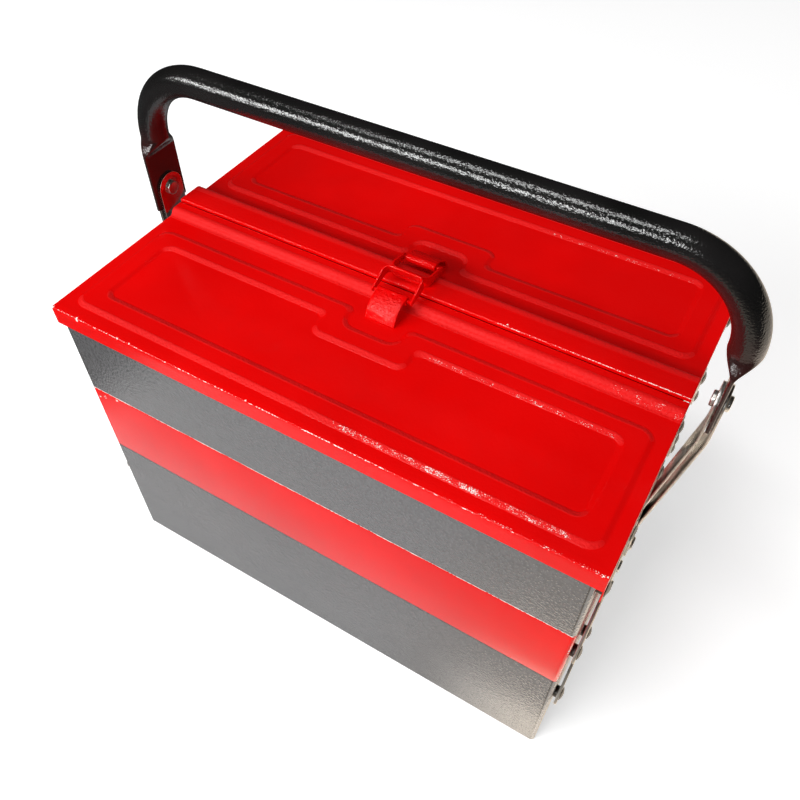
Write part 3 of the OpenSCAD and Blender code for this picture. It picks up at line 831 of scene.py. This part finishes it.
for half in ("front", "rear"):
    for piece in ("_hasp_tab", "_hasp_ring"):
        bevelled(half + piece, HASP_ROUND, "red_hasp", "red_hasp_edge", segments=2)


# ---------------------------------------------------------------- stage and light
FLOOR_SIZE = 12.0
FLOOR_DROP = 0.0002
WHITE = (1.0, 1.0, 1.0, 1.0)
WARM = (1.0, 0.88, 0.74, 1.0)
# Levels of the floor for other rays and for reflections.
FLOOR_ALBEDO = (0.86, 0.50)
FLOOR_GLOW = (0.42, 0.12)
# How bright its reflection is: all over, round the box, and beside the box's right front.
MIRRORED_FAR = 0.1
MIRRORED_ROUND = 0.9
MIRRORED_NEAR = 2.2


def mirrored_floor(n, x, y):
    """Brightness of the floor in reflections."""
    across = n.times(n.ramp(x, -0.36, -0.28), n.fall(x, 0.45, 0.75))
    along = n.times(n.ramp(y, -0.75, -0.45), n.fall(y, 0.25, 0.45))
    near = n.times(n.ramp(x, 0.08, 0.18), n.ramp(y, -0.155, -0.136))
    level = n.plus(n.times(n.times(across, along), MIRRORED_ROUND), n.times(near, MIRRORED_NEAR))
    return n.plus(level, MIRRORED_FAR)


def add_floor():
    """White floor whose reflection in the paint fades to the left and is warm on the right."""
    n = Nodes("floor")
    rays = n.add("ShaderNodeLightPath").outputs
    x, y, _ = n.axes()
    glossy = rays["Is Glossy Ray"]
    seen = n.largest(rays["Is Camera Ray"], glossy, rays["Is Transmission Ray"])
    shade = n.minus(1.0, n.times(glossy, n.minus(1.0, mirrored_floor(n, x, y))))
    color = n.mix(glossy, WHITE, n.mix(n.ramp(x, 0.02, 0.20), WHITE, WARM))
    scaled = n.add("ShaderNodeVectorMath", operation="SCALE")
    n.link(color, scaled.inputs[0])
    n.link(n.times(shade, n.ramp(glossy, 0.0, 1.0, *FLOOR_ALBEDO)), scaled.inputs["Scale"])
    n.surface(color=scaled.outputs[0], rough=0.9, specular=0.0)
    n.link(color, n.bsdf.inputs["Emission Color"])
    n.link(n.times(n.times(seen, shade), n.ramp(glossy, 0.0, 1.0, *FLOOR_GLOW)),
           n.bsdf.inputs["Emission Strength"])
    s = FLOOR_SIZE
    floor = new_object("floor", [(-s, -s, 0), (s, -s, 0), (s, s, 0), (-s, s, 0)],
                       [(0, 1, 2, 3)], n.material, smooth=False)
    floor.location.z = -FLOOR_DROP


def add_lamp(name, place, target, size, power, glossy=True):
    """Rectangular lamp at a place, turned to its target, with its long side level."""
    data = bpy.data.lights.new(name, "AREA")
    data.shape = "RECTANGLE"
    data.size, data.size_y = size
    data.energy = power
    lamp = link_object(name, data)
    lamp.visible_glossy = glossy
    way = (Vector(place) - Vector(target)).normalized()
    lamp.location = Vector(place)
    lamp.rotation_euler = way.to_track_quat("Z", "Y").to_euler()


SKY = {"seen": 1.0, "light": 0.28, "reflected": 0.012}


def add_world():
    """White to the camera, a plain grey sky as a light, and dim in reflections."""
    world = bpy.data.worlds.new("world")
    bpy.context.scene.world = world
    world.use_nodes = True
    tree = world.node_tree
    tree.nodes.clear()
    out = tree.nodes.new("ShaderNodeOutputWorld")
    rays = tree.nodes.new("ShaderNodeLightPath")

    def background(level):
        node = tree.nodes.new("ShaderNodeBackground")
        node.inputs[0].default_value = (level, level, level, 1)
        return node.outputs[0]

    def mix(factor, a, b):
        node = tree.nodes.new("ShaderNodeMixShader")
        tree.links.new(factor, node.inputs[0])
        tree.links.new(a, node.inputs[1])
        tree.links.new(b, node.inputs[2])
        return node.outputs[0]

    lit = mix(rays.outputs["Is Glossy Ray"], background(SKY["light"]),
              background(SKY["reflected"]))
    tree.links.new(mix(rays.outputs["Is Camera Ray"], lit, background(SKY["seen"])),
                   out.inputs[0])


add_floor()
add_world()
add_lamp("ceiling_strip", (-0.45, -0.60, 2.20), (-0.2, -0.05, 0.2), (1.2, 0.30), 15.0)
add_lamp("front_window", (-0.82, -1.53, 1.09), (0, 0, 0.2), (1.85, 0.26), 34.0)
add_lamp("side", (2.0, -0.3, 1.1), (0, 0, 0.15), (0.8, 0.8), 8.0, glossy=False)
add_lamp("back", (0.8, 1.9, 1.3), (0, 0, 0.2), (0.8, 0.8), 2.5, glossy=False)

bpy.context.scene.view_settings.view_transform = "Standard"
